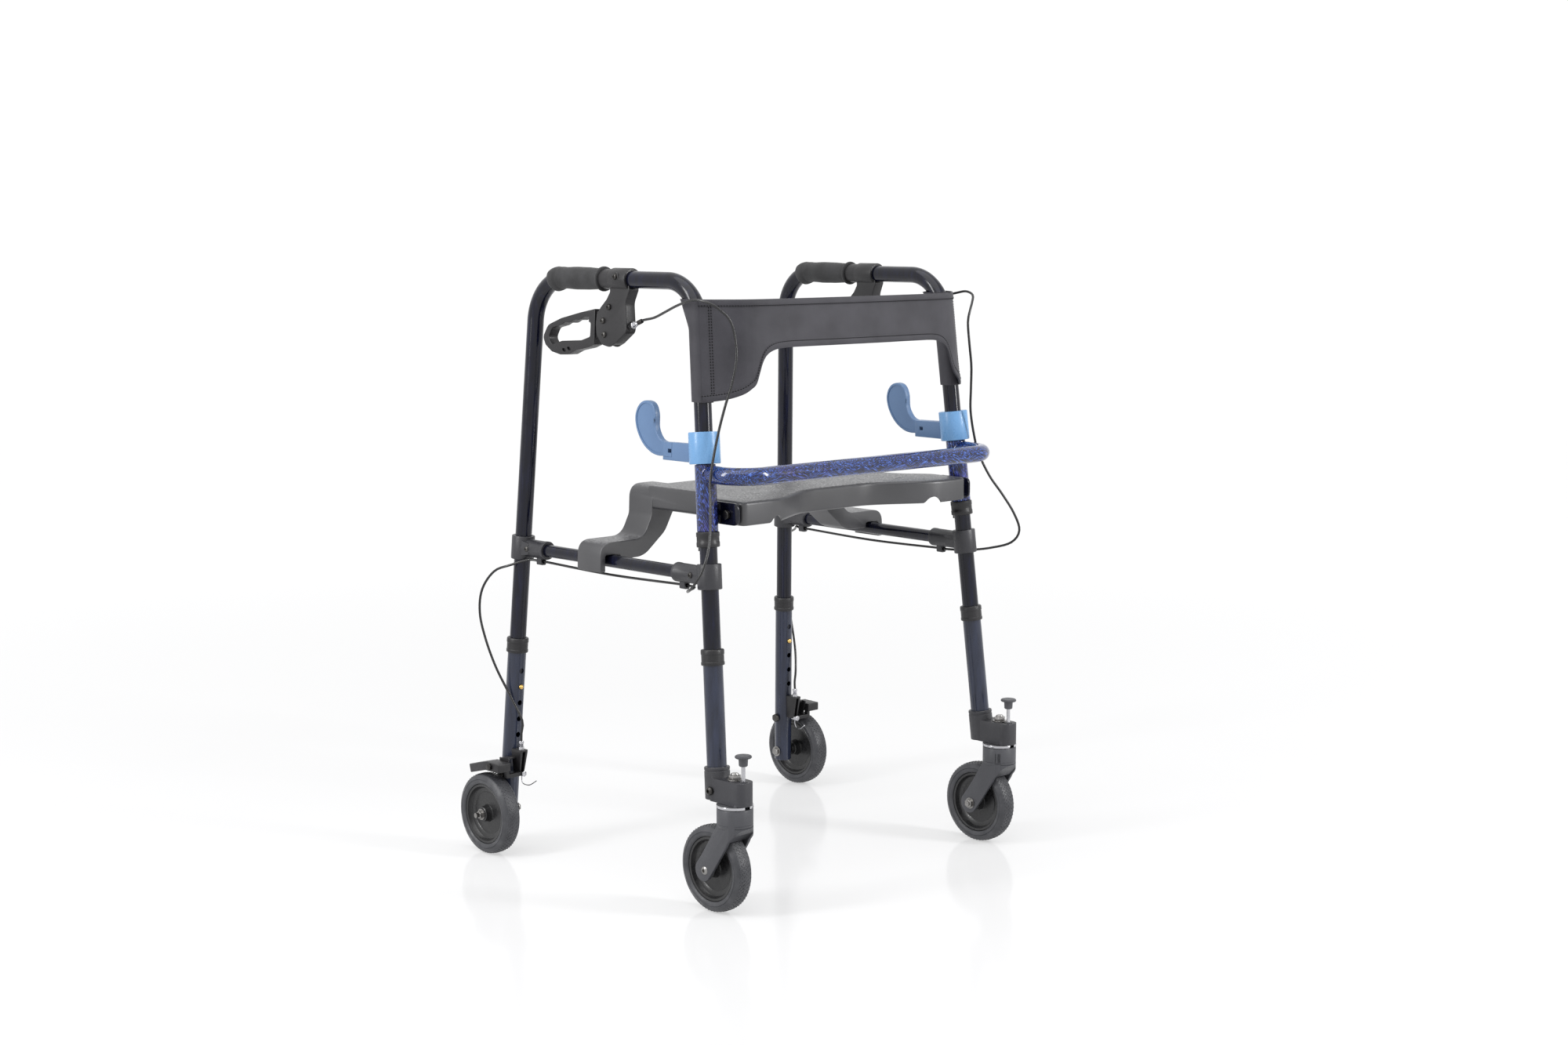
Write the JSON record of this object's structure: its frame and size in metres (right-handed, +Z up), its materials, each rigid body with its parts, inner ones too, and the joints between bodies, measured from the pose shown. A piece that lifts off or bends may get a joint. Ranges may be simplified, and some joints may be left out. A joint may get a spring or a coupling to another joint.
{
  "type": "four-wheel rollator",
  "caption": "Folding walking frame with swivel front casters, braked rear wheels, a flip-up seat, a fabric back strap and loop brake levers.",
  "frame": {"origin": "on the floor, under the middle of the whole rollator in X and Y", "axes": "+Z up, -Y the way it travels, so the casters are at -Y and the grips point to +Y, +X the right side"},
  "size_m": [0.7222, 0.6096, 0.9161],
  "materials": {
    "navy_tube": "dark navy gloss lacquer on aluminium tube",
    "flame_blue": "deep blue marbled gloss lacquer on aluminium tube",
    "grey_moulding": "dark grey moulded nylon, fine texture",
    "black_moulding": "black moulded nylon",
    "foam": "soft closed-cell foam",
    "seat_grey": "grained dark grey moulded seat",
    "fabric": "black woven nylon with stitched seams",
    "paddle_blue": "light blue moulded plastic",
    "tyre": "solid grey rubber with a fine tread",
    "hub_black": "black moulded wheel centre",
    "chrome": "bright plated steel",
    "dark_steel": "dark plated steel",
    "brass": "yellow plated spring button",
    "cable_black": "smooth black cable sheath"
  },
  "bodies": {
    "walker": {"cross_frame": "flame_blue", "backrest_strap": "fabric", "left_hinge_pin": "dark_steel", "right_hinge_pin": "dark_steel"},
    "seat": {"seat": "seat_grey"},
    "left_side": {"left_side_tube": "navy_tube", "left_side_rail": "navy_tube", "left_front_connector": "grey_moulding", "left_rear_connector": "grey_moulding", "left_hand_grip": "foam", "left_brake_housing": "black_moulding", "left_brake_cable": "cable_black", "left_front_snap_button": "brass", "left_rear_snap_button": "brass", "left_sleeve_bush": "grey_moulding"},
    "left_front_leg": {"left_front_lower_leg": "navy_tube", "left_front_leg_bush": "grey_moulding", "left_caster_head": "grey_moulding"},
    "left_caster": {"left_caster_fork": "grey_moulding", "left_front_axle": "chrome"},
    "left_front_wheel": {"left_front_tyre": "tyre", "left_front_hub": "hub_black"},
    "left_swivel_lock": {"left_swivel_lock_knob": "black_moulding"},
    "left_rear_leg": {"left_rear_lower_leg": "navy_tube", "left_rear_leg_bush": "grey_moulding", "left_rear_axle": "chrome", "left_brake_bracket": "black_moulding"},
    "left_rear_wheel": {"left_rear_tyre": "tyre", "left_rear_hub": "hub_black"},
    "left_shoe": {"left_brake_shoe": "black_moulding"},
    "left_lever": {"left_brake_lever": "black_moulding"},
    "left_paddle": {"left_release_paddle": "paddle_blue"},
    "right_side": {"right_side_tube": "navy_tube", "right_side_rail": "navy_tube", "right_front_connector": "grey_moulding", "right_rear_connector": "grey_moulding", "right_hand_grip": "foam", "right_brake_housing": "black_moulding", "right_brake_cable": "cable_black", "right_front_snap_button": "brass", "right_rear_snap_button": "brass", "right_sleeve_bush": "grey_moulding"},
    "right_front_leg": {"right_front_lower_leg": "navy_tube", "right_front_leg_bush": "grey_moulding", "right_caster_head": "grey_moulding"},
    "right_caster": {"right_caster_fork": "grey_moulding", "right_front_axle": "chrome"},
    "right_front_wheel": {"right_front_tyre": "tyre", "right_front_hub": "hub_black"},
    "right_swivel_lock": {"right_swivel_lock_knob": "black_moulding"},
    "right_rear_leg": {"right_rear_lower_leg": "navy_tube", "right_rear_leg_bush": "grey_moulding", "right_rear_axle": "chrome", "right_brake_bracket": "black_moulding"},
    "right_rear_wheel": {"right_rear_tyre": "tyre", "right_rear_hub": "hub_black"},
    "right_shoe": {"right_brake_shoe": "black_moulding"},
    "right_lever": {"right_brake_lever": "black_moulding"},
    "right_paddle": {"right_release_paddle": "paddle_blue"}
  },
  "joints": [
    {"name": "left_fold", "type": "hinge", "parent": "walker", "child": "left_side", "pos_m": [-0.269, -0.20865, 0.481], "axis": [-0.0404, -0.0985, -0.9943], "range_deg": [0, 30.5]},
    {"name": "right_fold", "type": "hinge", "parent": "walker", "child": "right_side", "pos_m": [0.269, -0.20865, 0.481], "axis": [-0.0404, 0.0985, 0.9943], "range_deg": [0, 30.6]},
    {"name": "seat_flip", "type": "hinge", "parent": "walker", "child": "seat", "pos_m": [0, -0.22065, 0.569], "axis": [1, 0, 0], "range_deg": [0, 74.92]},
    {"name": "left_front_leg_slide", "type": "slide", "parent": "left_side", "child": "left_front_leg", "axis": [-0.0404, -0.0985, -0.9943], "range_m": [-0.0762, 0.0254], "deforming": ["left_front_snap_button"]},
    {"name": "right_front_leg_slide", "type": "slide", "parent": "right_side", "child": "right_front_leg", "axis": [0.0404, -0.0985, -0.9943], "range_m": [-0.0762, 0.0254], "deforming": ["right_front_snap_button"]},
    {"name": "left_rear_leg_slide", "type": "slide", "parent": "left_side", "child": "left_rear_leg", "axis": [-0.0442, 0.0564, -0.9974], "range_m": [-0.0762, 0.0254], "deforming": ["left_rear_snap_button", "left_brake_cable"]},
    {"name": "right_rear_leg_slide", "type": "slide", "parent": "right_side", "child": "right_rear_leg", "axis": [0.0442, 0.0564, -0.9974], "range_m": [-0.0762, 0.0254], "deforming": ["right_rear_snap_button", "right_brake_cable"]},
    {"name": "left_caster_swivel", "type": "hinge", "parent": "left_front_leg", "child": "left_caster", "pos_m": [-0.28185, -0.27545, 0.165], "axis": [0, 0, 1], "continuous": true},
    {"name": "right_caster_swivel", "type": "hinge", "parent": "right_front_leg", "child": "right_caster", "pos_m": [0.28185, -0.27545, 0.165], "axis": [0, 0, 1], "continuous": true},
    {"name": "left_front_wheel_spin", "type": "hinge", "parent": "left_caster", "child": "left_front_wheel", "pos_m": [-0.28185, -0.23595, 0.0635], "axis": [1, 0, 0], "continuous": true},
    {"name": "right_front_wheel_spin", "type": "hinge", "parent": "right_caster", "child": "right_front_wheel", "pos_m": [0.28185, -0.23595, 0.0635], "axis": [1, 0, 0], "continuous": true},
    {"name": "left_lock_push", "type": "slide", "parent": "left_front_leg", "child": "left_swivel_lock", "axis": [0, 0, -1], "range_m": [0, 0.0085]},
    {"name": "right_lock_push", "type": "slide", "parent": "right_front_leg", "child": "right_swivel_lock", "axis": [0, 0, -1], "range_m": [0, 0.0085]},
    {"name": "left_rear_wheel_spin", "type": "hinge", "parent": "left_rear_leg", "child": "left_rear_wheel", "pos_m": [-0.33301, 0.23995, 0.0635], "axis": [1, 0, 0], "continuous": true},
    {"name": "right_rear_wheel_spin", "type": "hinge", "parent": "right_rear_leg", "child": "right_rear_wheel", "pos_m": [0.33301, 0.23995, 0.0635], "axis": [1, 0, 0], "continuous": true},
    {"name": "left_lever_squeeze", "type": "hinge", "parent": "left_side", "child": "left_lever", "pos_m": [-0.25926, 0.02665, 0.83617], "axis": [0.9988, 0.0235, -0.0429], "range_deg": [0, 12], "stiffness_Nm_per_rad": 0.6, "springref_deg": -5.73},
    {"name": "right_lever_squeeze", "type": "hinge", "parent": "right_side", "child": "right_lever", "pos_m": [0.25926, 0.02665, 0.83617], "axis": [0.9988, -0.0235, 0.0429], "range_deg": [0, 12], "stiffness_Nm_per_rad": 0.6, "springref_deg": -5.73},
    {"name": "left_shoe_press", "type": "hinge", "parent": "left_rear_leg", "child": "left_shoe", "pos_m": [-0.33301, 0.22195, 0.1415], "axis": [-1, 0, 0], "range_deg": [0, 1.95]},
    {"name": "right_shoe_press", "type": "hinge", "parent": "right_rear_leg", "child": "right_shoe", "pos_m": [0.33301, 0.22195, 0.1415], "axis": [-1, 0, 0], "range_deg": [0, 1.95]},
    {"name": "left_paddle_press", "type": "hinge", "parent": "left_side", "child": "left_paddle", "pos_m": [-0.26228, -0.19228, 0.6465], "axis": [-0.0404, -0.0985, -0.9943], "range_deg": [0, 10], "stiffness_Nm_per_rad": 0.6, "springref_deg": -5.73},
    {"name": "right_paddle_press", "type": "hinge", "parent": "right_side", "child": "right_paddle", "pos_m": [0.26228, -0.19228, 0.6465], "axis": [-0.0404, 0.0985, 0.9943], "range_deg": [0, 10], "stiffness_Nm_per_rad": 0.6, "springref_deg": -5.73}
  ],
  "couplings": [
    {"joint": "right_fold", "follows": "left_fold", "ratio": 1},
    {"joint": "seat_flip", "follows": "left_fold", "ratio": 2.45},
    {"joint": "left_shoe_press", "follows": "left_lever_squeeze", "ratio": 0.16},
    {"joint": "right_shoe_press", "follows": "right_lever_squeeze", "ratio": 0.16}
  ]
}
